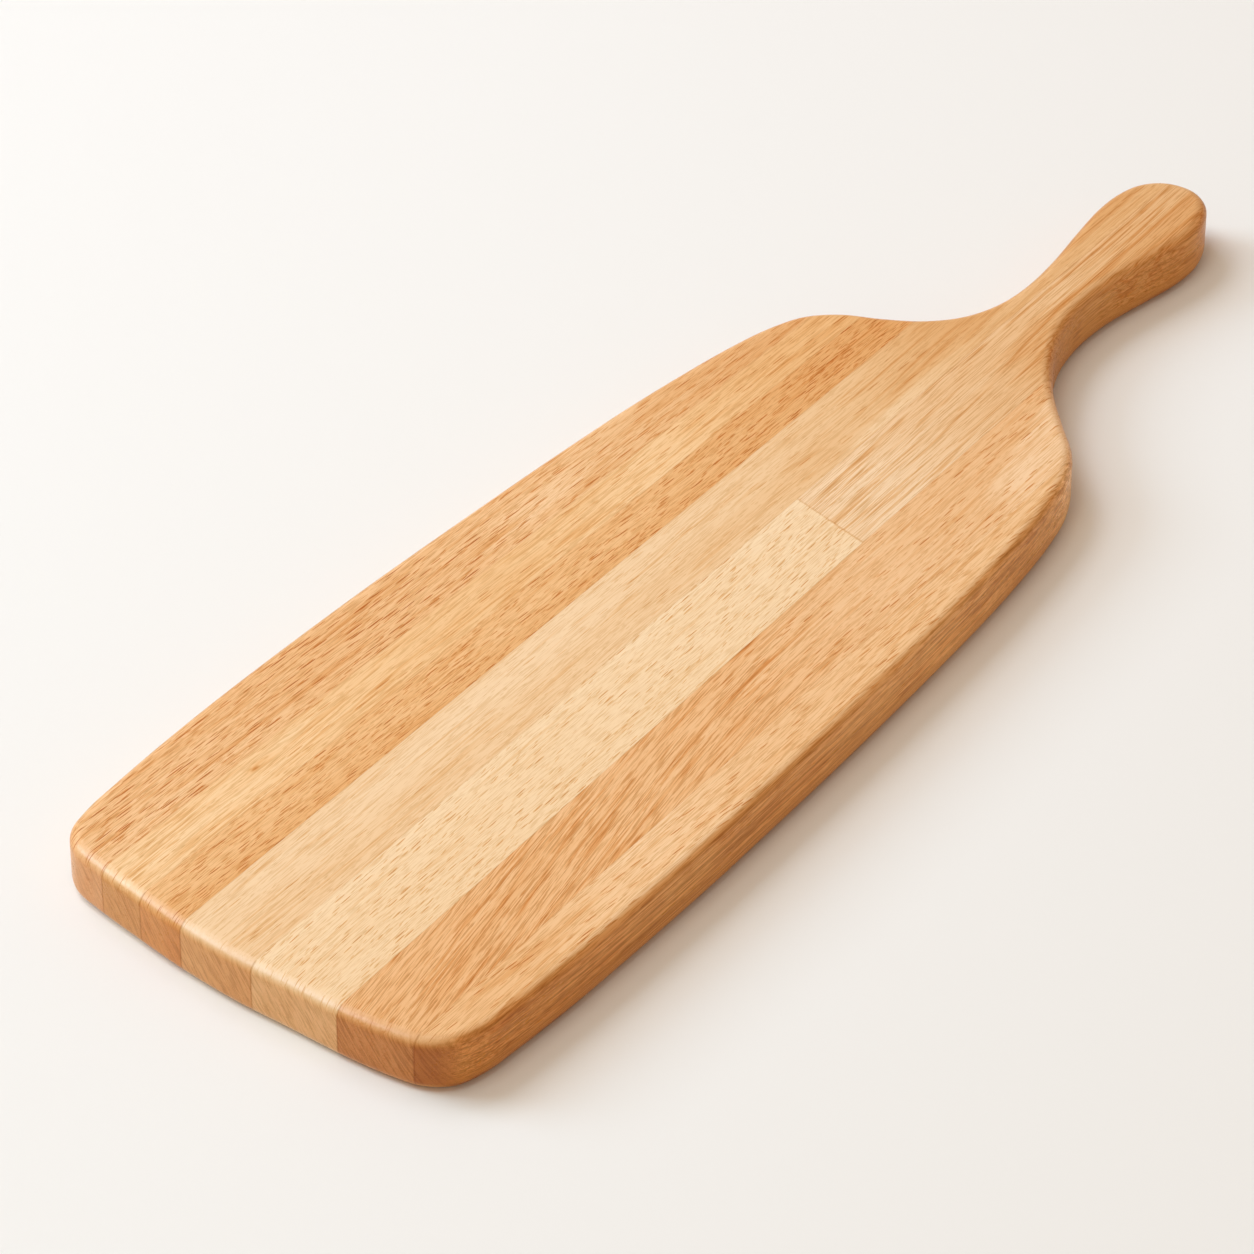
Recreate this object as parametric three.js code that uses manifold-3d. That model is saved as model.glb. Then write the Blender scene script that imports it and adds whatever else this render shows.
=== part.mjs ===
// Paddle serving board: an edge-glued hardwood blank cut to a paddle outline with a
// slim neck and a rounded handle, its edges rounded on both faces.
//
// Frame: millimetres, +Z up, the board lies on z = 0, +X runs toward the handle and the
// origin is under the middle of the outline's bounding box.
//
// The blank is made of seven rows of staves. Row 5 is two lengths joined end to end with
// a finger joint. Each neighbouring pair of rows is bonded by a thin glue line.

import * as THREE from 'three';
import { mergeVertices } from 'three/addons/utils/BufferGeometryUtils.js';
import Module from 'manifold-3d';

// ---------------------------------------------------------------- driving dimensions
const THICKNESS = 20.5;        // finished board
const EDGE_RADIUS = 4.1;       // roundover on the top and bottom edges
const EDGE_STEPS = 6;          // facets across each quarter round
const STEPS_PER_SPAN = 3;      // outline points between neighbouring stations

const JOINT_GAP = 0.24;        // width left for a glue line between two rows
const GLUE_THICKNESS = 0.16;   // glue line, clear of both staves
const GLUE_INSET = 0.2;        // glue stays this far below the wood's surface

// Outline stations in the XY plane, from the middle of the front end round the +Y side
// to the handle's tip and back along the -Y side.
const OUTLINE = [
  [-239.98, 0.08], [-239.68, 21.28], [-237.98, 41.68], [-236.38, 56.88], [-234.18, 67.58],
  [-227.98, 74.58], [-217.78, 77.28], [-204.28, 78.38], [-184.18, 79.48], [-160.88, 80.08],
  [-136.98, 80.08], [-112.48, 79.68], [-87.98, 78.98], [-63.58, 77.88], [-39.38, 76.58],
  [-14.98, 75.18], [9.12, 73.48], [32.92, 71.48], [56.12, 68.68], [76.92, 65.48],
  [93.12, 61.68], [105.22, 56.38], [114.02, 47.48], [120.52, 35.88], [127.92, 24.98],
  [137.32, 16.58], [148.82, 11.58], [162.22, 9.88], [178.62, 10.98], [196.72, 13.98],
  [211.92, 16.08], [222.82, 15.78], [230.92, 13.28], [236.72, 8.28], [239.52, 2.08],
  [239.82, -4.42], [236.82, -10.42], [230.92, -14.32], [222.72, -16.72], [212.02, -16.62],
  [197.62, -14.12], [180.82, -11.42], [165.02, -11.52], [150.42, -14.62], [137.02, -21.22],
  [124.72, -30.72], [114.22, -42.12], [104.12, -53.22], [92.02, -60.22], [76.82, -64.42],
  [57.22, -67.72], [34.62, -70.42], [10.82, -72.52], [-13.28, -74.32], [-37.68, -75.92],
  [-61.88, -77.22], [-86.28, -78.32], [-110.48, -79.32], [-134.68, -79.82], [-159.08, -80.12],
  [-182.48, -80.02], [-201.98, -79.22], [-215.78, -78.12], [-225.78, -74.72], [-232.28, -66.92],
  [-235.28, -56.12], [-237.28, -41.32], [-238.58, -21.22],
];

// Joints between the rows: offset on the Y axis where the joint passes x = JOINT_X, and
// its angle to the board's axis. The rows lie slightly askew and taper a little.
const JOINT_X = -9.6;
const JOINTS = [
  { name: '1_2', y: 53.35, deg: -0.15 },
  { name: '2_3', y: 39.25, deg: 0.47 },
  { name: '3_4', y: 23.55, deg: 0.84 },
  { name: '4_5', y: -1.6, deg: 1.47 },
  { name: '5_6', y: -30.85, deg: 2.06 },
  { name: '6_7', y: -58.6, deg: 1.6 },
];

// Finger joint across row 5: a straight line on both faces, fingers inside. The line is
// a little off square to the board.
const FINGER_X = 27.4;         // middle of the joint's line on the faces
const FINGER_Y = -14.6;
const FINGER_SKEW = 7.5;       // degrees
const FINGER_LENGTH = 10.0;
const FINGER_PITCH = 4.5;
const FINGER_COUNT = 4;
const FINGER_TIP = 0.4;        // flat at each tip and root
const FINGER_GAP = 0.3;        // along the board

const REACH = 300;             // cutting bodies run this far past the outline

// ------------------------------------------------------------------------ materials
const wood = (hex) => new THREE.MeshStandardMaterial({ color: hex, roughness: 0.42, metalness: 0 });
const glue = () => new THREE.MeshStandardMaterial({ color: 0xa97b45, roughness: 0.5, metalness: 0 });

// ---------------------------------------------------------------------------- solids
const wasm = await Module();
wasm.setup();

function solid(geometry) {
  const g = geometry.index ? geometry.toNonIndexed() : geometry.clone();
  g.deleteAttribute('normal');
  g.deleteAttribute('uv');
  const m = mergeVertices(g, 1e-5);
  return new wasm.Manifold(new wasm.Mesh({
    numProp: 3,
    vertProperties: new Float32Array(m.attributes.position.array),
    triVerts: new Uint32Array(m.index.array),
  }));
}

function geometryOf(body) {
  const m = body.getMesh();
  const g = new THREE.BufferGeometry();
  g.setAttribute('position', new THREE.BufferAttribute(new Float32Array(m.vertProperties), 3));
  g.setIndex(new THREE.BufferAttribute(new Uint32Array(m.triVerts), 1));
  g.computeVertexNormals();
  return g;
}

// The whole board before it is parted into staves, optionally shrunk on every side.
const curve = new THREE.CatmullRomCurve3(
  OUTLINE.map(([x, y]) => new THREE.Vector3(x, y, 0)), true, 'centripetal');

function outlinePoints(inset) {
  const count = OUTLINE.length * STEPS_PER_SPAN;
  const points = [];
  for (let i = 0; i < count; i += 1) {
    const p = curve.getPoint(i / count);
    const t = curve.getTangent(i / count);
    // The stations run clockwise, so the inward normal is the tangent turned to the right.
    points.push(new THREE.Vector2(p.x + t.y * inset, p.y - t.x * inset));
  }
  return points;
}

function blank(inset) {
  const r = EDGE_RADIUS - inset;
  const height = THICKNESS - 2 * inset;
  const g = new THREE.ExtrudeGeometry(new THREE.Shape(outlinePoints(inset)), {
    depth: height - 2 * r,
    bevelEnabled: true,
    bevelThickness: r,
    bevelSize: r,
    bevelOffset: -r,
    bevelSegments: EDGE_STEPS,
    steps: 1,
    curveSegments: 1,
  });
  g.translate(0, 0, inset + r);
  return solid(g);
}

// A slab standing on edge between two joint lines, each moved sideways by its offset.
const lineY = (joint, x) => joint.y + (x - JOINT_X) * Math.tan(THREE.MathUtils.degToRad(joint.deg));

function slab(upper, upperShift, lower, lowerShift) {
  const shape = new THREE.Shape([
    new THREE.Vector2(-REACH, lower ? lineY(lower, -REACH) + lowerShift : -REACH),
    new THREE.Vector2(REACH, lower ? lineY(lower, REACH) + lowerShift : -REACH),
    new THREE.Vector2(REACH, upper ? lineY(upper, REACH) + upperShift : REACH),
    new THREE.Vector2(-REACH, upper ? lineY(upper, -REACH) + upperShift : REACH),
  ]);
  const g = new THREE.ExtrudeGeometry(shape, { depth: THICKNESS + 10, bevelEnabled: false });
  g.translate(0, 0, -5);
  return solid(g);
}

// The front side of the finger joint, as a profile in XZ drawn through the full width.
function fingerSide(x0, front) {
  const margin = (THICKNESS - FINGER_COUNT * FINGER_PITCH) / 2;
  const flank = (FINGER_PITCH - 2 * FINGER_TIP) / 2;
  const profile = [[x0, -5], [x0, margin + FINGER_TIP / 2]];
  for (let i = 0; i < FINGER_COUNT; i += 1) {
    const z = margin + i * FINGER_PITCH + FINGER_TIP / 2;
    if (i > 0) profile.push([x0, z]);
    profile.push([x0 + FINGER_LENGTH, z + flank]);
    profile.push([x0 + FINGER_LENGTH, z + flank + FINGER_TIP]);
    profile.push([x0, z + 2 * flank + FINGER_TIP]);
  }
  profile.push([x0, THICKNESS + 5]);
  const end = front ? -REACH : REACH;
  const outline = [[end, -5], ...profile, [end, THICKNESS + 5]];
  const shape = new THREE.Shape(outline.map(([x, z]) => new THREE.Vector2(x, z)));
  const g = new THREE.ExtrudeGeometry(shape, { depth: 2 * REACH, bevelEnabled: false });
  // Drawn in XY and extruded along Z: stand it up so that the profile lies in XZ.
  g.rotateX(Math.PI / 2);
  g.translate(-FINGER_X, REACH, 0);
  g.rotateZ(-THREE.MathUtils.degToRad(FINGER_SKEW));
  g.translate(FINGER_X, FINGER_Y, 0);
  return solid(g);
}

// ---------------------------------------------------------------------------- board
const board = new THREE.Group();

function add(name, body, material) {
  const mesh = new THREE.Mesh(geometryOf(body), material);
  mesh.name = name;
  board.add(mesh);
}

const whole = blank(0);
const half = JOINT_GAP / 2;
const row = (i) => slab(
  i > 0 ? JOINTS[i - 1] : null, -half,
  i < JOINTS.length ? JOINTS[i] : null, half,
);

add('stave_1', whole.intersect(row(0)), wood(0xd9a566));
add('stave_2', whole.intersect(row(1)), wood(0xe3b57b));
add('stave_3', whole.intersect(row(2)), wood(0xd79f5f));
add('stave_4', whole.intersect(row(3)), wood(0xe8be86));

const rowFive = whole.intersect(row(4));
add('stave_5_front', rowFive.intersect(fingerSide(FINGER_X - FINGER_GAP / 2, true)), wood(0xf0cd9a));
add('stave_5_handle', rowFive.intersect(fingerSide(FINGER_X + FINGER_GAP / 2, false)), wood(0xe4b67c));

add('stave_6', whole.intersect(row(5)), wood(0xd9a263));
add('stave_7', whole.intersect(row(6)), wood(0xdfae71));

const inner = blank(GLUE_INSET);
for (const joint of JOINTS) {
  const film = slab(joint, GLUE_THICKNESS / 2, joint, -GLUE_THICKNESS / 2);
  add(`glue_line_${joint.name}`, inner.intersect(film), glue());
}

export default board;
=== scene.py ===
import math

import bmesh
import bpy
import numpy as np
from mathutils import Matrix, Vector


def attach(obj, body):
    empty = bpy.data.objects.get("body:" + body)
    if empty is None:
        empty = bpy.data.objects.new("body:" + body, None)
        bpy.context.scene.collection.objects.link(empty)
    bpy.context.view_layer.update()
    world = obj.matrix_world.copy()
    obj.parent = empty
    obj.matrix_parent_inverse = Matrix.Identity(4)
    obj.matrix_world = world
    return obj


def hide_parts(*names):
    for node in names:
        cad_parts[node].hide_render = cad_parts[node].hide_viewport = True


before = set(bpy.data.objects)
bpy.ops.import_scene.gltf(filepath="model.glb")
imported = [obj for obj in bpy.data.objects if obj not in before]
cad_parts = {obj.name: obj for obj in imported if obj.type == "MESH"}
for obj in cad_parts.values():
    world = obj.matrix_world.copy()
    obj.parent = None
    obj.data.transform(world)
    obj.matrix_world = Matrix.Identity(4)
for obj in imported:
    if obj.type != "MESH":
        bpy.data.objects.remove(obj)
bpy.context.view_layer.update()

# --------------------------------------------------------------------------------------
# Dimensions, in millimetres, in the CAD frame
# --------------------------------------------------------------------------------------
THICKNESS = 20.5
EDGE_RADIUS = 4.1
OUTLINE = [
    (-239.98, 0.08), (-239.68, 21.28), (-237.98, 41.68), (-236.38, 56.88), (-234.18, 67.58),
    (-227.98, 74.58), (-217.78, 77.28), (-204.28, 78.38), (-184.18, 79.48), (-160.88, 80.08),
    (-136.98, 80.08), (-112.48, 79.68), (-87.98, 78.98), (-63.58, 77.88), (-39.38, 76.58),
    (-14.98, 75.18), (9.12, 73.48), (32.92, 71.48), (56.12, 68.68), (76.92, 65.48),
    (93.12, 61.68), (105.22, 56.38), (114.02, 47.48), (120.52, 35.88), (127.92, 24.98),
    (137.32, 16.58), (148.82, 11.58), (162.22, 9.88), (178.62, 10.98), (196.72, 13.98),
    (211.92, 16.08), (222.82, 15.78), (230.92, 13.28), (236.72, 8.28), (239.52, 2.08),
    (239.82, -4.42), (236.82, -10.42), (230.92, -14.32), (222.72, -16.72), (212.02, -16.62),
    (197.62, -14.12), (180.82, -11.42), (165.02, -11.52), (150.42, -14.62), (137.02, -21.22),
    (124.72, -30.72), (114.22, -42.12), (104.12, -53.22), (92.02, -60.22), (76.82, -64.42),
    (57.22, -67.72), (34.62, -70.42), (10.82, -72.52), (-13.28, -74.32), (-37.68, -75.92),
    (-61.88, -77.22), (-86.28, -78.32), (-110.48, -79.32), (-134.68, -79.82), (-159.08, -80.12),
    (-182.48, -80.02), (-201.98, -79.22), (-215.78, -78.12), (-225.78, -74.72), (-232.28, -66.92),
    (-235.28, -56.12), (-237.28, -41.32), (-238.58, -21.22),
]
JOINT_X = -9.6
JOINTS = [("1_2", 53.35, -0.15), ("2_3", 39.25, 0.47), ("3_4", 23.55, 0.84),
          ("4_5", -1.6, 1.47), ("5_6", -30.85, 2.06), ("6_7", -58.6, 1.6)]
FINGER_X, FINGER_Y, FINGER_SKEW = 27.4, -14.6, 7.5
FINGER_LENGTH, FINGER_PITCH, FINGER_COUNT, FINGER_TIP = 10.0, 4.5, 4, 0.4

SKIN = 0.02           # the fine surface stays this far inside the CAD solids' box
SEAM = 0.02           # half the hairline between two neighbouring staves
STEPS = 14            # outline points per span
ROUND = 10            # rings across each quarter round


# --------------------------------------------------------------------------------------
# The fine surface of the board
# --------------------------------------------------------------------------------------
def outline_curve(points, steps):
    """Closed centripetal Catmull-Rom curve through the stations, and its outward normals."""
    p = np.array(points, float)
    n = len(p)
    out, tan = [], []
    for i in range(n):
        p0, p1, p2, p3 = p[i - 1], p[i], p[(i + 1) % n], p[(i + 2) % n]
        d0, d1, d2 = (math.sqrt(np.linalg.norm(b - a)) for a, b in ((p0, p1), (p1, p2), (p2, p3)))
        t1 = ((p1 - p0) / d0 - (p2 - p0) / (d0 + d1) + (p2 - p1) / d1) * d1
        t2 = ((p2 - p1) / d1 - (p3 - p1) / (d1 + d2) + (p3 - p2) / d2) * d1
        c2 = -3 * p1 + 3 * p2 - 2 * t1 - t2
        c3 = 2 * p1 - 2 * p2 + t1 + t2
        for k in range(steps):
            t = k / steps
            out.append(p1 + t1 * t + c2 * t * t + c3 * t ** 3)
            tan.append(t1 + 2 * c2 * t + 3 * c3 * t * t)
    out, tan = np.array(out), np.array(tan)
    tan /= np.linalg.norm(tan, axis=1)[:, None]
    # The stations run clockwise: the outward normal is the tangent turned to the left.
    return out, np.stack([-tan[:, 1], tan[:, 0]], 1)


def blank_bmesh(inset):
    """The whole rounded board as a closed bmesh, shrunk by inset on every side (metres)."""
    curve, normal = outline_curve(OUTLINE, STEPS)
    r, top = EDGE_RADIUS, THICKNESS
    profile = [(r + 1.0, 0.0)]
    for k in range(ROUND + 1):
        a = k / ROUND * math.pi / 2
        profile.append((r - r * math.sin(a), r - r * math.cos(a)))
    for k in range(1, 4):
        profile.append((0.0, r + (top - 2 * r) * k / 4))
    for k in range(ROUND + 1):
        a = k / ROUND * math.pi / 2
        profile.append((r - r * math.cos(a), top - r + r * math.sin(a)))
    profile.append((r + 1.0, top))

    bm = bmesh.new()
    rings = []
    for depth, z in profile:
        zz = min(max(z, inset), top - inset)
        pts = curve - normal * (max(depth, 0.0) + inset)
        rings.append([bm.verts.new((x / 1000, y / 1000, zz / 1000)) for x, y in pts])
    n = len(curve)
    for a, b in zip(rings[:-1], rings[1:]):
        for i in range(n):
            j = (i + 1) % n
            bm.faces.new((a[j], a[i], b[i], b[j]))
    for ring in (rings[0], rings[-1]):
        edges = [bm.edges.get((ring[i], ring[(i + 1) % n])) for i in range(n)]
        bmesh.ops.triangle_fill(bm, use_beauty=True, edges=edges)
    bmesh.ops.recalc_face_normals(bm, faces=bm.faces)
    return bm


def cut(bm, point, normal):
    """Removes everything on the normal's side of a plane and closes the cut."""
    geom = list(bm.verts) + list(bm.edges) + list(bm.faces)
    res = bmesh.ops.bisect_plane(bm, geom=geom, dist=1e-7, plane_co=point, plane_no=normal,
                                 clear_outer=True, clear_inner=False)
    edges = [e for e in res["geom_cut"] if isinstance(e, bmesh.types.BMEdge)]
    bmesh.ops.triangle_fill(bm, use_beauty=True, edges=edges)


def joint_plane(joint, shift, side):
    """Plane of a joint moved sideways by shift (mm); side +1 faces +Y, -1 faces -Y."""
    _, y, deg = joint
    a = math.radians(deg)
    return (Vector((JOINT_X / 1000, (y + shift) / 1000, 0)),
            Vector((-math.sin(a) * side, math.cos(a) * side, 0)))


def joint_y(joint, x):
    """Where a joint passes x, in millimetres."""
    _, y, deg = joint
    return y + (x - JOINT_X) * math.tan(math.radians(deg))


def finish_mesh(bm, name):
    bmesh.ops.remove_doubles(bm, verts=bm.verts, dist=2e-7)
    bmesh.ops.dissolve_degenerate(bm, edges=bm.edges, dist=2e-7)
    bmesh.ops.recalc_face_normals(bm, faces=bm.faces)
    mesh = bpy.data.meshes.new(name)
    bm.to_mesh(mesh)
    bm.free()
    for poly in mesh.polygons:
        poly.use_smooth = True
    mesh.set_sharp_from_angle(angle=math.radians(40))
    obj = bpy.data.objects.new(name, mesh)
    bpy.context.scene.collection.objects.link(obj)
    return obj


def strip(name, upper, lower, inset, half):
    """The board between two joints. Either joint may be None at the board's outer side."""
    bm = blank_bmesh(inset)
    if upper is not None:
        cut(bm, *joint_plane(upper, -half, 1))
    if lower is not None:
        cut(bm, *joint_plane(lower, half, -1))
    return finish_mesh(bm, name)


def finger_prism(x0, front):
    """The body of space on one side of the finger joint, drawn in XZ."""
    margin = (THICKNESS - FINGER_COUNT * FINGER_PITCH) / 2
    flank = (FINGER_PITCH - 2 * FINGER_TIP) / 2
    profile = [(x0, -5.0)]
    for i in range(FINGER_COUNT):
        z = margin + i * FINGER_PITCH + FINGER_TIP / 2
        profile += [(x0, z), (x0 + FINGER_LENGTH, z + flank),
                    (x0 + FINGER_LENGTH, z + flank + FINGER_TIP),
                    (x0, z + 2 * flank + FINGER_TIP)]
    profile.append((x0, THICKNESS + 5))
    end = -300.0 if front else 300.0
    loop = [(end, -5.0)] + profile + [(end, THICKNESS + 5)]
    bm = bmesh.new()
    rows = [[bm.verts.new((x / 1000, y / 1000, z / 1000)) for x, z in loop] for y in (-120.0, 120.0)]
    n = len(loop)
    for i in range(n):
        j = (i + 1) % n
        bm.faces.new((rows[0][i], rows[0][j], rows[1][j], rows[1][i]))
    for row in rows:
        bm.faces.new(row)
    middle = Vector((FINGER_X / 1000, 0, 0))
    bmesh.ops.rotate(bm, verts=bm.verts, cent=middle, matrix=Matrix.Rotation(-math.radians(FINGER_SKEW), 3, "Z"))
    bmesh.ops.translate(bm, verts=bm.verts, vec=(0, FINGER_Y / 1000, 0))
    bmesh.ops.recalc_face_normals(bm, faces=bm.faces)
    mesh = bpy.data.meshes.new("finger_side")
    bm.to_mesh(mesh)
    bm.free()
    obj = bpy.data.objects.new("finger_side", mesh)
    bpy.context.scene.collection.objects.link(obj)
    return obj


def keep_inside(obj, prism):
    mod = obj.modifiers.new("cut", "BOOLEAN")
    mod.operation, mod.solver, mod.object = "INTERSECT", "EXACT", prism
    deps = bpy.context.evaluated_depsgraph_get()
    mesh = bpy.data.meshes.new_from_object(obj.evaluated_get(deps))
    obj.modifiers.clear()
    old, obj.data = obj.data, mesh
    bpy.data.meshes.remove(old)
    mesh.name = obj.name
    for poly in mesh.polygons:
        poly.use_smooth = True
    mesh.set_sharp_from_angle(angle=math.radians(40))
    used = prism.data
    bpy.data.objects.remove(prism)
    bpy.data.meshes.remove(used)


# --------------------------------------------------------------------------------------
# Node expressions
# --------------------------------------------------------------------------------------
class Sock:
    """A shader socket that can be used in arithmetic."""

    def __init__(self, tree, socket):
        self.tree, self.socket = tree, socket

    def _op(self, name, other, swap=False):
        a, b = (other, self) if swap else (self, other)
        return self.tree.math(name, a, b)

    def __add__(self, o): return self._op("ADD", o)
    def __radd__(self, o): return self._op("ADD", o, True)
    def __sub__(self, o): return self._op("SUBTRACT", o)
    def __rsub__(self, o): return self._op("SUBTRACT", o, True)
    def __mul__(self, o): return self._op("MULTIPLY", o)
    def __rmul__(self, o): return self._op("MULTIPLY", o, True)
    def __truediv__(self, o): return self._op("DIVIDE", o)
    def __neg__(self): return self._op("MULTIPLY", -1.0)


class Tree:
    def __init__(self, material):
        self.nt = material.node_tree
        self.nodes, self.links = self.nt.nodes, self.nt.links
        self.count = 0

    def new(self, kind, **props):
        node = self.nodes.new(kind)
        node.location = (220 * (self.count % 12), -260 * (self.count // 12))
        self.count += 1
        for key, value in props.items():
            setattr(node, key, value)
        return node

    def put(self, socket, value):
        if isinstance(value, Sock):
            self.links.new(value.socket, socket)
        else:
            socket.default_value = value

    def math(self, op, a, b=None, c=None, clamp=False):
        node = self.new("ShaderNodeMath", operation=op, use_clamp=clamp)
        for i, value in enumerate((a, b, c)):
            if value is not None:
                self.put(node.inputs[i], value)
        return Sock(self, node.outputs[0])

    def vec(self, x, y, z):
        node = self.new("ShaderNodeCombineXYZ")
        for i, value in enumerate((x, y, z)):
            self.put(node.inputs[i], value)
        return Sock(self, node.outputs[0])

    def split(self, v):
        node = self.new("ShaderNodeSeparateXYZ")
        self.put(node.inputs[0], v)
        return [Sock(self, o) for o in node.outputs]

    def noise(self, v, detail=2.0, rough=0.5, distortion=0.0, dims="3D"):
        node = self.new("ShaderNodeTexNoise", noise_dimensions=dims)
        self.put(node.inputs["Vector"], v)
        node.inputs["Scale"].default_value = 1.0
        node.inputs["Detail"].default_value = detail
        node.inputs["Roughness"].default_value = rough
        node.inputs["Distortion"].default_value = distortion
        return Sock(self, node.outputs[0])

    def cells(self, v, randomness=1.0, dims="2D"):
        """Distance to the nearest cell point, and two random numbers of that cell."""
        node = self.new("ShaderNodeTexVoronoi", voronoi_dimensions=dims, feature="F1")
        self.put(node.inputs["Vector"], v)
        node.inputs["Scale"].default_value = 1.0
        node.inputs["Randomness"].default_value = randomness
        sep = self.new("ShaderNodeSeparateColor")
        self.links.new(node.outputs["Color"], sep.inputs[0])
        return (Sock(self, node.outputs["Distance"]), Sock(self, sep.outputs[0]), Sock(self, sep.outputs[1]))

    def rand(self, w):
        node = self.new("ShaderNodeTexWhiteNoise", noise_dimensions="1D")
        self.put(node.inputs["W"], w)
        return Sock(self, node.outputs["Value"])

    def step(self, x, low, high, smooth=True):
        node = self.new("ShaderNodeMapRange", interpolation_type="SMOOTHSTEP" if smooth else "LINEAR", clamp=True)
        self.put(node.inputs["Value"], x)
        self.put(node.inputs["From Min"], low)
        self.put(node.inputs["From Max"], high)
        return Sock(self, node.outputs["Result"])

    def floor(self, x): return self.math("FLOOR", x)
    def fract(self, x): return self.math("FRACT", x)
    def abs(self, x): return self.math("ABSOLUTE", x)
    def power(self, x, e): return self.math("POWER", x, e)
    def max(self, a, b): return self.math("MAXIMUM", a, b)
    def min(self, a, b): return self.math("MINIMUM", a, b)


# --------------------------------------------------------------------------------------
# Wood
# --------------------------------------------------------------------------------------
DARK = (0.37, 0.61, 1.0)      # how fine dark marks absorb red, green and blue
DEEP = (0.22, 0.54, 1.0)      # how broad changes of tone do
# The golden tint below is partly the cut edges' own colour and partly the warm tint of shade painted on the sides.
GOLD = (0.0, 0.1, 1.0)        # how cut edges turn golden
# SHADE also tints the shade painted on the cut edges: the darkened roundovers, the painted contact shadow and the
# painted light along the sides.
SHADE = (0.5, 0.69, 1.1)     # how the grain on the cut edges does


def srgb(r, g, b):
    return tuple(((c / 255) / 12.92 if c / 255 <= 0.04045 else ((c / 255 + 0.055) / 1.055) ** 2.4) for c in (r, g, b))


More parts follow.
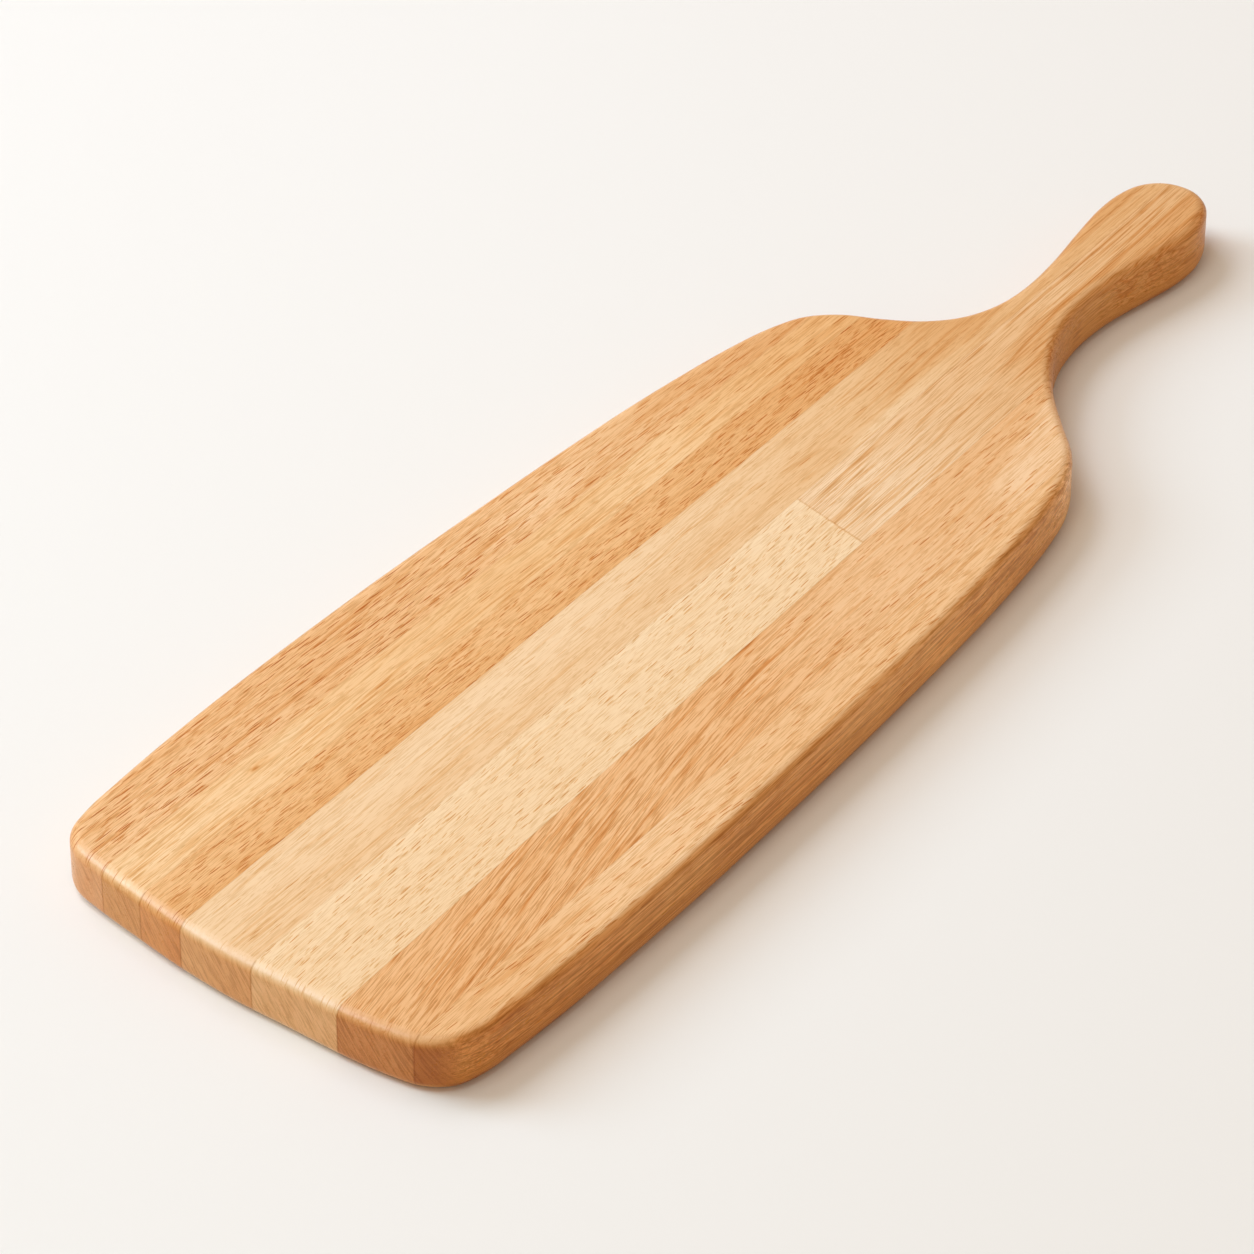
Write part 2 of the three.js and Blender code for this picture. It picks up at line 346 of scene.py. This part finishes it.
def wood(name, spec, upper, lower):
    """Oiled beech for one stave. Lengths in the spec are millimetres: u along the stave, v across
    it and w through it. Tones are in units that take the blue of the wood down by a factor e."""
    mat = bpy.data.materials.new(name)
    mat.use_nodes = True
    t = Tree(mat)
    t.nodes.clear()
    out = t.new("ShaderNodeOutputMaterial")
    bsdf = t.new("ShaderNodeBsdfPrincipled")
    t.links.new(bsdf.outputs[0], out.inputs["Surface"])

    coord = t.new("ShaderNodeTexCoord")
    turn = t.new("ShaderNodeMapping", vector_type="TEXTURE")
    t.links.new(coord.outputs["Object"], turn.inputs["Vector"])
    turn.inputs["Location"].default_value = (JOINT_X / 1000, spec["y"] / 1000, 0)
    turn.inputs["Rotation"].default_value = (0, 0, math.radians(spec["deg"]))
    turn.inputs["Scale"].default_value = (0.001, 0.001, 0.001)
    u, v, w = t.split(Sock(t, turn.outputs[0]))
    nx, ny, nz = t.split(Sock(t, coord.outputs["Normal"]))
    seed = spec["seed"]
    lean = t.abs(nz)
    facing = t.step(t.abs(nx) / t.math("SQRT", nx * nx + ny * ny + 1e-4), 0.35, 0.95)
    end = facing * (1.0 - t.step(lean, 0.1, 0.8))                   # fibres cut across
    side = (1.0 - facing) * (1.0 - t.step(lean, 0.72, 0.975))       # fibres along a cut edge
    turned = side * t.step(lean, 0.15, 0.45)                        # the roundover along the sides
    # Past the edge of an end the marks fade: on the end faces because the fibres are cut across, and on the rounded
    # front edge as a painted highlight.
    end_and_highlight_zone = facing * t.step(lean, 0.998, 0.97)                       # everything past the edge of an end
    flat = 1.0 - end - side
    under = t.step(nz, 0.0, -0.2) * 137.0     # the underside shows another cut of the same wood

    def across(x, y):
        """Board millimetres to this stave's u and v."""
        a = math.radians(spec["deg"])
        du, dv = x - JOINT_X, y - spec["y"]
        return du * math.cos(a) + dv * math.sin(a), dv * math.cos(a) - du * math.sin(a)

    # The fibres wander slowly and wobble a little.
    wander = t.noise(t.vec(u * (1 / 140) + under, v * (1 / 40), w * (1 / 40) + seed), detail=1.0)
    wobble = t.noise(t.vec(u * (1 / spec.get("wobble_run", 65.0)) + under, v * (1 / 11), w * (1 / 11) + seed * 1.9), detail=1.0, rough=0.5)
    fv = v + (wander - 0.5) * spec.get("wander", 3.0) + (wobble - 0.5) * spec.get("wobble", 0.8)
    for x, y, au, av, push in spec.get("knots", []):
        # Fibres part round a small knot.
        cu, cv = across(x, y)
        gu, gv = (u - cu) * (1 / au), (v - cv) * (1 / av)
        bulge = t.math("EXPONENT", (gu * gu + gv * gv) * -1.0)
        fv = fv - gv * bulge * push
    if "slope" in spec:
        # Grain running across the stave at a slant as far as slope_end, then straight.
        cu, cv = across(spec["slope_end"], spec["y"])
        fv = fv - t.math("SMOOTH_MIN", u, cu, 90.0) * spec["slope"]

    # Broad tone along the stave.
    deep = None
    if "grade" in spec:
        ramp = t.new("ShaderNodeValToRGB")
        ramp.color_ramp.interpolation = "LINEAR"
        stops = spec["grade"]
        while len(ramp.color_ramp.elements) < len(stops):
            ramp.color_ramp.elements.new(0.5)
        for el, (x, value) in zip(ramp.color_ramp.elements, stops):
            el.position = (x + 240) / 480
            el.color = (value * 0.5 + 0.5,) * 3 + (1,)
        t.put(ramp.inputs[0], (u + (wobble - 0.5) * 40.0 + (JOINT_X + 240)) * (1 / 480))
        deep = (Sock(t, ramp.outputs[0]) - 0.5) * 2.0

    def add(a, b):
        return b if a is None else a + b

    # Broad bands and medium streaks along the grain.
    band = t.noise(t.vec(u * (1 / spec.get("band_run", 320.0)) + under, fv * (1 / spec.get("band_mm", 7.0)), w * (1 / 9) + seed * 1.7), detail=2.0, rough=0.5)
    deep = add(deep, (band - 0.5) * (spec.get("band", 0.45) * 0.7))
    streak = t.noise(t.vec(u * (1 / spec.get("streak_run", 150.0)) + under, fv * (1 / spec.get("streak_mm", 2.2)), w * (1 / 2.6) + seed * 2.3), detail=2.0, rough=0.55)
    deep = deep + (streak - 0.5) * (spec.get("streak", 0.4) * 0.65)

    # Fine fibre dashes, darker than the ground, and hair lines.
    dash = t.noise(t.vec(u * (1 / spec.get("dash_run", 14.0)) + under, fv * (1 / spec.get("dash_mm", 0.36)), w * (1 / 0.6) + seed * 5.3), detail=1.0, rough=0.5)
    calm = 1.0
    if "calm" in spec:
        x0, x1, amount = spec["calm"]
        calm = t.step(u, x0 - JOINT_X, x1 - JOINT_X) * (amount - 1.0) + 1.0
    # The dashes fade past the edge of an end; on the rounded front edge this is a painted highlight.
    dark = (t.step(dash, 0.46, 0.65) - 0.33) * (1.0 - end_and_highlight_zone * 0.75) * calm * spec.get("dash", 0.5)
    line = t.noise(t.vec(u * (1 / spec.get("line_run", 100.0)) + under, fv * (1 / spec.get("line_mm", 1.7)), w * (1 / 1.7) + seed * 7.7), detail=1.0)
    hair = t.step(t.abs(line - 0.5), 0.065, 0.015)
    which = t.noise(t.vec(u * (1 / 26) + under, fv * (1 / 3.5), seed * 0.7), detail=1.0)
    # The hair lines fade the same way, a painted highlight on the rounded front edge.
    deep = deep + hair * t.step(which, 0.4, 0.66) * spec.get("line", 0.35) * (1.0 - end_and_highlight_zone * 0.5) * calm

    # Long streaks on the cut edges.
    edge = t.noise(t.vec(u * (1 / 90) + under, fv * (1 / 1.6), w * (1 / 0.85) + seed * 4.7), detail=3.0, rough=0.62)
    shade = (t.step(edge, 0.38, 0.64) - 0.5) * side * spec.get("edge", 0.8)

    # Growth rings: lines along the faces and slanted lines on the ends.
    tilt = math.radians(spec.get("tilt", 32.0))
    swirl = t.noise(t.vec(u * (1 / spec.get("ring_run", 170.0)) + under, fv * (1 / spec.get("ring_wide", 12.0)), w * (1 / 25) + seed * 3.1), detail=2.0, rough=0.45)
    phase = (fv * math.cos(tilt) - w * math.sin(tilt)) * (1 / (spec.get("ring_mm", 2.6) * 1.7)) + (swirl - 0.5) * spec.get("swirl", 2.0)
    saw = t.fract(phase)
    ident = t.floor(phase)
    late = t.power(saw, spec.get("ring_sharp", 4.0)) * t.step(saw, 1.0, 0.9)
    chance = t.power(t.rand(ident + seed), 1.5)
    fade = t.noise(t.vec(u * (1 / 60) + under, ident * 3.7, seed), detail=1.0)
    shown = t.step(fade, 0.3, 0.62) * (1.0 - end) + end * 0.8
    deep = deep + late * chance * (1.0 - end) * spec.get("ring", 0.5) * shown
    shade = shade + (late - 0.12) * end * spec.get("end_ring", 0.3)

    # On the ends the fibres are cut across: short strokes along the rings.
    over = v * math.cos(tilt) - w * math.sin(tilt)
    along = v * math.sin(tilt) + w * math.cos(tilt)
    stroke = t.noise(t.vec(over * (1 / 0.55) + (swirl - 0.5) * 2.0, along * (1 / spec.get("stroke_mm", 7.0)), seed * 2.9 + u * (1 / 30)), detail=2.0, rough=0.55)
    shade = shade + (t.step(stroke, 0.44, 0.66) - 0.4) * end * spec.get("strokes", 0.3)

    # Short dark ray flecks on the two faces.
    flecks = None
    for k, (long_mm, wide_mm, size, share, amount) in enumerate(spec.get("flecks", [])):
        rank = (fv - u * spec.get("fleck_lean", 0.0)) * (1 / wide_mm) + k * 3.1
        cell = t.vec(u * (1 / long_mm) + rank * (0.618, -0.382)[k] + seed + k * 7.3 + under, rank, 0.0)
        dist, pick, other = t.cells(cell)
        radius = other * (size * 0.7) + size * 0.4
        mark = t.step(dist, radius, radius * 0.7)
        where = t.noise(t.vec(u * (1 / 50) + under, fv * (1 / 6), seed + 5.0 + k), detail=1.0)
        low = spec.get("fleck_low", 0.3)
        keep = t.step(pick, 1.0 - share, 1.03 - share) * t.step(where, low, low + 0.22)
        mark = mark * keep * (other * 0.6 + 0.4) * amount
        flecks = mark if flecks is None else t.max(flecks, mark)
    if flecks is not None:
        if "fleck_from" in spec:
            x0, x1, amount = spec["fleck_from"]
            flecks = flecks * (t.step(u, x0 - JOINT_X, x1 - JOINT_X) * (1.0 - amount) + amount)
        deep = deep + flecks * flat * 1.1

    # Single streaks: from (x0, y0) to (x1, y1) on the board, half width and tone.
    for x0, y0, x1, y1, half, amount in spec.get("streaks", []):
        (u0, v0), (u1, v1) = across(x0, y0), across(x1, y1)
        rise = (v1 - v0) / (u1 - u0)
        off = t.abs(v + (wobble - 0.5) * 1.2 - (u - u0) * rise - v0)
        soft = min(16.0, (u1 - u0) / 2)
        body = t.step(off, half, half * 0.15) * t.step(u, u0, u0 + soft) * t.step(u, u1, u1 - soft)
        deep = deep + body * (dash * 0.9 + 0.55) * flat * amount

    # Part of a stave on the lower side of a line, from x = start to x = stop, paler or darker.
    for x0, y0, x1, y1, blur, start, stop, amount in spec.get("zones", []):
        (u0, v0), (u1, v1) = across(x0, y0), across(x1, y1)
        rise = (v1 - v0) / (u1 - u0)
        off = v + (wobble - 0.5) * 1.0 - (u - u0) * rise - v0
        us, ue = start - JOINT_X, stop - JOINT_X
        deep = deep + t.step(off, blur, -blur) * t.step(u, us - 12, us + 12) * t.step(u, ue + 12, ue - 12) * amount

    # Tiny open pores.
    pore_d, pore_p, pore_a = t.cells(t.vec(u * (1 / 4.0) + seed * 1.3, fv * (1 / 0.52) + under, w * (1 / 0.6)), dims="3D")
    pores = t.step(pore_d, 0.36, 0.14) * t.step(pore_p, 0.45, 0.47) * (pore_a * 0.7 + 0.3)
    # The pores fade past the edge of an end too; on the rounded front edge this is a painted highlight.
    dark = dark + pores * (1.0 - end_and_highlight_zone * 0.5) * spec.get("pores", 0.5)

    # The wood is a little darker right along its joints, most of all on the ends.
    for joint in (upper, lower):
        if joint:
            (u0, v0), (u1, v1) = across(-200, joint_y(joint, -200)), across(200, joint_y(joint, 200))
            rise = (v1 - v0) / (u1 - u0)
            off = t.abs(v - (u - u0) * rise - v0)
            dark = dark + t.step(off, 0.5, 0.1) * (facing * t.step(lean, 0.99, 0.9) * 0.55 + side * 0.25 + spec.get("seam", 0.04))

    if "finger" in spec:
        # A thin line where the two lengths of the row meet.
        a = math.radians(FINGER_SKEW)
        x, y, _ = t.split(Sock(t, coord.outputs["Object"]))
        off = t.abs(x * (1000 * math.cos(a)) - y * (1000 * math.sin(a)) - (FINGER_X * math.cos(a) - FINGER_Y * math.sin(a)))
        deep = deep + t.step(off, 0.7, 0.15) * (t.step(y, -0.010, -0.018) * 0.5 + 0.6) * spec["finger"]

    # Ends and sides are deeper in tone than the faces. On the ends this is the wood's own colour. On the sides it is
    # partly the wood's own colour and partly painted shade, set larger on the staves whose sides face away from the
    # light.
    deep = deep + side * spec.get("side", 1.0) + end * spec.get("front", 1.0)
    # Painted shade: the rounded edges that face +X, away from the lamps, are darkened.
    deep = deep + t.step(nx, 0.3, 0.9) * t.step(lean, 0.99, 0.8) * t.step(lean, 0.2, 0.5) * 0.4
    dark = dark + end * spec.get("end", 0.1)
    # Painted shade: the roundovers along the sides are darkened, the lower roundover more as a painted contact shadow,
    # and the sides grow darker towards the bottom.
    shade = shade + turned * spec.get("turned", 0.24) + side * (t.step(nz, 0.15, -0.6) * 0.8 + t.step(w, 9.0, 0.0) * 0.16)
    # The sides' golden tint is partly their own colour and partly the warm tint of painted shade.
    gold = (side - turned * 0.75) * spec.get("side_gold", 0.28) + end * spec.get("gold", 0.0)
    # Painted light and shade: stretches of a stave's side are made lighter (negative amounts) or darker, standing in
    # for how the light falls along that side.
    for x0, x1, amount in spec.get("painted_side_light", []):
        side_light = t.step(u, x0 - JOINT_X, x1 - JOINT_X) * side * amount
        deep, shade = deep + side_light, shade + side_light * 0.7

    channels = []
    for a, b, g, h, c in zip(DARK, DEEP, GOLD, SHADE, spec["base"]):
        channels.append(t.math("EXPONENT", dark * -a - deep * b - gold * g - shade * h) * c)
    t.put(bsdf.inputs["Base Color"], t.vec(*channels))

    t.put(bsdf.inputs["Roughness"], (dash - 0.5) * 0.14 + (streak - 0.5) * 0.1 + spec.get("rough", 0.3))
    bsdf.inputs["Specular IOR Level"].default_value = spec.get("gloss", 0.2)
    bsdf.inputs["IOR"].default_value = 1.5

    bump = t.new("ShaderNodeBump")
    bump.inputs["Strength"].default_value = 0.3
    bump.inputs["Distance"].default_value = 0.00006
    height = dash * -0.5 - pores * 0.8 - late * 0.3
    if flecks is not None:
        height = height - flecks * 0.5
    t.put(bump.inputs["Height"], height * (1.0 - facing * 0.96) * (1.0 - side * 0.5))
    t.links.new(bump.outputs[0], bsdf.inputs["Normal"])
    return mat


STAVES = {
    "stave_1": dict(
        y=66.0, deg=0.0, seed=1.3, calm=(-50, 20, 0.7), fleck_low=0.24, fleck_from=(25, -50, 0.55), side=0.32, side_gold=0.05, edge=0.55, front=0.8, gold=-0.12, end=0.0, base=srgb(232, 184, 133),
        grade=[(-195, -0.04), (-130, 0.12), (10, -0.08), (65, 0.22), (110, 0.32)],
        dash=0.62, dash_run=8.5, line=0.6, ring=0.4, ring_mm=3.0, swirl=2.4, streak=0.5, band=0.5,
        flecks=[(11.0, 0.85, 0.34, 0.46, 2.2), (7.5, 0.72, 0.30, 0.32, 1.3)],
        streaks=[(-205, 60.5, -100, 59.5, 1.3, 0.45), (-178, 66.2, -110, 65.6, 1.9, 0.13), (-105, 56.3, -38, 57.2, 0.6, 0.5), (-62, 69.2, 2, 68.4, 0.5, 0.5),
                 (-78, 62.2, -28, 61.8, 0.35, 0.45), (10, 58, 90, 57, 0.7, 0.35), (10, 62.6, 78, 60.6, 1.6, 0.2)],
        zones=[(-60, 66.5, 10, 65.8, 1.5, -42, -2, -0.22), (-60, 58.0, 10, 57.6, 1.5, -42, -2, 0.2)]),
    "stave_2": dict(
        y=46.0, deg=0.2, seed=2.7, side=0.35, side_gold=0.05, edge=0.5, front=0.85, end=0.4, strokes=0.4, base=srgb(238, 196, 146),
        grade=[(-195, -0.08), (-60, 0.18), (10, -0.06), (75, 0.36), (115, 0.42)],
        dash=0.44, dash_run=8.5, line=0.55, ring=0.4, ring_mm=2.2, swirl=2.0, wobble=1.4, streak=0.5,
        knots=[(-174, 48.3, 16, 3.0, 2.0)],
        flecks=[(11.5, 0.9, 0.27, 0.25, 1.3)],
        streaks=[(-103, 42.2, -38, 41.2, 0.6, 0.5), (-32, 51.1, 22, 52.0, 0.6, 0.45), (-2, 43.2, 42, 43.0, 0.5, 0.45), (-60, 50.4, 10, 50.6, 1.5, 0.16),
                 (-176.5, 48.4, -171.5, 48.4, 0.9, 1.2), (-171, 50.0, -138, 50.4, 1.7, -0.18)]),
    "stave_3": dict(
        y=31.0, deg=0.65, seed=4.1, fleck_low=0.18, side=0.4, side_gold=0.05, edge=0.5, front=1.0, end=0.05, strokes=0.42, base=srgb(232, 183, 129),
        grade=[(-200, 0.02), (-60, 0), (10, 0.08), (110, 0.52)],
        dash=0.52, dash_run=7.5, line=0.4, ring=0.3, ring_mm=2.8, swirl=1.5, streak=0.35, band=0.35,
        flecks=[(9.0, 0.85, 0.31, 0.52, 1.65), (6.0, 0.72, 0.28, 0.4, 1.1)],
        streaks=[(62, 33.3, 122, 33.6, 0.6, 0.5), (70, 29.0, 122, 29.6, 0.5, 0.45)],
        zones=[(-240, 26.2, 100, 29.0, 2.2, -300, 50, 0.2)]),
    "stave_4": dict(
        y=11.0, deg=1.15, seed=5.9, side=0.4, side_gold=0.05, edge=0.5, end=0.1, strokes=0.45, base=srgb(239, 205, 164),
        grade=[(-200, 0.04), (-60, 0), (10, 0.1), (80, 0.32), (130, 0.8), (210, 0.9)],
        pores=0.46, dash=0.32, dash_run=8.0, line=0.36, ring=0.14, ring_mm=2.4, swirl=0.8, band=0.4, streak=0.2,
        flecks=[(12.0, 0.9, 0.25, 0.2, 0.9)],
        streaks=[(-24, 16.2, 12, 16.4, 0.5, 0.4), (-238, 6.0, -196, 6.0, 0.5, 0.4), (-238, -1.2, -136, -0.6, 0.45, 0.4),
                 (60, 9.0, 118, 13.0, 0.6, 0.4), (70, 16.5, 128, 18.5, 0.7, 0.45),
                 (78, 7.4, 134, 10.6, 1.5, 0.4), (96, 12.0, 140, 13.4, 0.9, 0.4), (150, 9.4, 232, 10.4, 0.5, 0.45), (190, 7.0, 238, 7.4, 0.5, 0.4)],
        zones=[(-240, 6.4, 120, 13.6, 7.0, -300, 60, 0.14), (27, -0.3, 100, 5.6, 0.8, 56, 118, -0.24), (118, 6.8, 235, 9.9, 0.8, 118, 260, -0.3)]),
    "stave_5_front": dict(
        y=-16.5, deg=1.76, seed=7.7, fleck_low=0.3, fleck_lean=0.06, finger=0.3, side=0.95, front=0.85, end=0.0, strokes=0.42, end_ring=0.3, base=srgb(243, 214, 176),
        grade=[(-200, 0.06), (20, -0.02)],
        pores=0.32, dash=0.36, dash_run=7.0, line=0.3, ring=0.18, ring_mm=4.0, swirl=1.5, band=0.36, streak=0.3,
        flecks=[(8.5, 0.9, 0.27, 0.5, 1.25), (6.0, 0.8, 0.24, 0.35, 0.75)],
        zones=[(-240, -12.0, 27, -5.2, 2.0, -300, 100, 0.085)]),
    "stave_5_handle": dict(
        y=-16.5, deg=1.76, seed=9.2, finger=0.3, gloss=0.12, side=0.71, turned=0.05, edge=0.34, painted_side_light=[(150, 195, -0.2)], front=0.75, end=0.0, base=srgb(237, 203, 164),
        grade=[(55, 0.04), (100, 0.42), (140, 0.48), (170, 0.36), (210, 0.62)],
        pores=0.36, dash=0.56, dash_run=14.0, line=0.75, line_run=110.0, ring=0.5, ring_mm=2.8, swirl=0.9, streak_run=220.0, streak=0.5,
        flecks=[(9.0, 1.6, 0.2, 0.15, 0.4)],
        streaks=[(28, -27.0, 100, -24.0, 0.6, 0.45), (29, -14.5, 88, -12.4, 0.5, 0.45), (32, -5.0, 92, -1.0, 0.5, 0.5),
                 (58, -18.6, 122, -13.0, 0.6, 0.5), (132, 0.2, 242, 3.2, 0.9, 0.7), (118, -12.2, 168, -6.2, 0.8, 0.6),
                 (150, -7.4, 238, -5.0, 0.8, 0.6), (196, -12.2, 238, -12.0, 0.7, 0.5)],
        zones=[(125, -7.6, 240, -3.6, 0.7, 124, 260, 0.32)]),
    "stave_6": dict(
        y=-44.5, deg=2.03, seed=11.4, calm=(-50, 5, 0.5), fleck_from=(-70, -10, 0.35), strokes=0.55, end_ring=0.35, side=0.62, front=0.7, end=0.56, turned=0.0, edge=0.6, base=srgb(228, 176, 123),
        grade=[(-200, 0.02), (-130, -0.06), (-60, 0), (10, -0.34), (75, -0.2)],
        dash=0.76, dash_run=9.0, line=0.8, ring=0.45, ring_mm=1.7, swirl=1.2, streak=0.5, slope=0.16, slope_end=-60.0,
        flecks=[(8.5, 0.88, 0.30, 0.45, 1.45)],
        streaks=[(-176, -61.2, -114, -59.8, 1.2, 0.15), (-218, -64.6, -180, -57.0, 0.8, 0.6), (-181, -57.2, -122, -40.0, 1.0, 0.5), (-185, -64.0, -138, -55.8, 0.6, 0.5),
                 (-142, -62.4, -112, -60.0, 0.7, 0.8), (-113, -60.1, -48, -53.6, 0.5, 0.4), (-226, -61.0, -140, -40.5, 4.0, 0.22),
                 (-52, -32.8, -22, -32.2, 1.0, 0.6), (-46, -42.0, -30, -42.0, 0.5, 0.6), (24, -36.2, 52, -35.4, 0.7, 0.55),
                 (82, -34.2, 118, -33.4, 0.5, 0.4), (66, -42.2, 112, -40.6, 0.5, 0.4), (20, -55.4, 100, -50.2, 0.5, 0.4)],
        zones=[(76, -43.0, 112, -34.0, 1.2, 70, 140, -0.34)]),
    "stave_7": dict(
        y=-68.0, deg=1.6, seed=13.8, strokes=0.5, side=1.05, front=1.14, end=0.98, painted_side_light=[(-120, 30, -0.32), (5, 60, 0.22), (72, 98, -0.5)], base=srgb(235, 190, 141),
        grade=[(-190, 0.16), (-130, -0.16), (-60, 0.02), (10, 0)],
        dash=0.5, dash_run=8.0, line=0.45, ring=0.3, ring_mm=3.0, swirl=1.5, streak=0.4,
        flecks=[(9.0, 0.88, 0.31, 0.44, 1.65)], fleck_lean=-0.05, fleck_from=(10, -60, 0.75),
        streaks=[(-114, -62.3, -42, -60.6, 1.2, 0.17)]),
}

rows = [("stave_1", None, JOINTS[0]), ("stave_2", JOINTS[0], JOINTS[1]), ("stave_3", JOINTS[1], JOINTS[2]),
        ("stave_4", JOINTS[2], JOINTS[3]), ("stave_5_front", JOINTS[3], JOINTS[4]),
        ("stave_5_handle", JOINTS[3], JOINTS[4]), ("stave_6", JOINTS[4], JOINTS[5]), ("stave_7", JOINTS[5], None)]
for node, upper, lower in rows:
    piece = strip(node + "_wood", upper, lower, SKIN, SEAM)
    if node == "stave_5_front":
        keep_inside(piece, finger_prism(FINGER_X - 0.03, True))
    elif node == "stave_5_handle":
        keep_inside(piece, finger_prism(FINGER_X + 0.03, False))
    piece.data.materials.clear()
    piece.data.materials.append(wood(node, STAVES[node], upper, lower))
    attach(piece, "root")
    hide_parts(node)


def glue_material():
    mat = bpy.data.materials.new("glue")
    mat.use_nodes = True
    t = Tree(mat)
    t.nodes.clear()
    out = t.new("ShaderNodeOutputMaterial")
    bsdf = t.new("ShaderNodeBsdfPrincipled")
    t.links.new(bsdf.outputs[0], out.inputs["Surface"])
    coord = t.new("ShaderNodeTexCoord")
    x, y, z = t.split(Sock(t, coord.outputs["Object"]))
    n = t.noise(t.vec(x * 30.0, y * 30.0, z * 400.0), detail=2.0)
    tone = (n - 0.5) * 0.5
    t.put(bsdf.inputs["Base Color"], t.vec(*[t.power(math.exp(-a), tone) * c for a, c in zip(DARK, srgb(196, 138, 84))]))
    bsdf.inputs["Roughness"].default_value = 0.5
    return mat


glue = glue_material()
for joint in JOINTS:
    film = strip("glue_film_" + joint[0], joint, joint, 0.05, -0.012)
    film.data.materials.append(glue)
    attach(film, "root")
    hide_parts("glue_line_" + joint[0])

# --------------------------------------------------------------------------------------
# Floor, light and camera
# --------------------------------------------------------------------------------------
def floor_material():
    mat = bpy.data.materials.new("floor")
    mat.use_nodes = True
    bsdf = mat.node_tree.nodes["Principled BSDF"]
    bsdf.inputs["Base Color"].default_value = (0.86, 0.86, 0.86, 1)
    bsdf.inputs["Roughness"].default_value = 0.9
    bsdf.inputs["Specular IOR Level"].default_value = 0.1
    return mat


bm = bmesh.new()
bmesh.ops.create_grid(bm, x_segments=8, y_segments=8, size=4.0)
mesh = bpy.data.meshes.new("floor")
bm.to_mesh(mesh)
bm.free()
floor = bpy.data.objects.new("floor", mesh)
bpy.context.scene.collection.objects.link(floor)
floor.data.materials.append(floor_material())

scene = bpy.context.scene
scene.view_settings.view_transform = "Standard"
scene.view_settings.look = "None"

world = bpy.data.worlds.new("studio")
scene.world = world
world.use_nodes = True
back = world.node_tree.nodes["Background"]
back.inputs["Color"].default_value = (1.0, 0.764, 0.563, 1)
back.inputs["Strength"].default_value = 0.504


def area(name, place, aim, size, power, colour=(1, 1, 1)):
    data = bpy.data.lights.new(name, "AREA")
    data.shape, data.size = "SQUARE", size
    data.energy, data.color = power, colour
    obj = bpy.data.objects.new(name, data)
    obj.location = place
    obj.rotation_euler = (Vector(aim) - Vector(place)).to_track_quat("-Z", "Y").to_euler()
    scene.collection.objects.link(obj)
    return obj


area("key_low", (-1.380, 3.083, 1.950), (0, 0, 0), 1.5, 77.9, (0.65, 0.835, 1.0))
area("key_high", (-0.609, 1.361, 2.130), (0, 0, 0), 1.0, 11.8, (0.86, 1.0, 0.97))
area("key_back", (0.153, 1.484, 2.130), (0, 0, 0), 1.0, 14.5, (0.858, 0.854, 1.0))
area("top", (-0.625, 0.136, 2.500), (0, 0, 0), 1.0, 10.7, (0.908, 1.0, 0.925))
shine = area("shine", (-1.550, 1.240, 1.650), (-0.24, 0, 0.02), 1.5, 67.0, (0.52, 0.74, 1.0))
shine.visible_diffuse = False     # a broad panel seen only as a reflection on the rounded edges

camera_data = bpy.data.cameras.new("camera")
camera_data.sensor_fit, camera_data.sensor_width = "HORIZONTAL", 36.0
camera_data.lens = 7142.857 / 1254 * 36
camera_data.clip_start, camera_data.clip_end = 0.05, 50
camera = bpy.data.objects.new("camera", camera_data)
right = Vector((0.63084, -0.77591, 0.00036))
up = Vector((0.50825, 0.41357, 0.75541))
rear = Vector((-0.58628, -0.47636, 0.65525))
camera.matrix_world = Matrix.Translation((-1.34629, -1.04898, 1.46645)) @ Matrix((right, up, rear)).transposed().to_4x4()
scene.collection.objects.link(camera)
scene.camera = camera

bpy.context.view_layer.update()
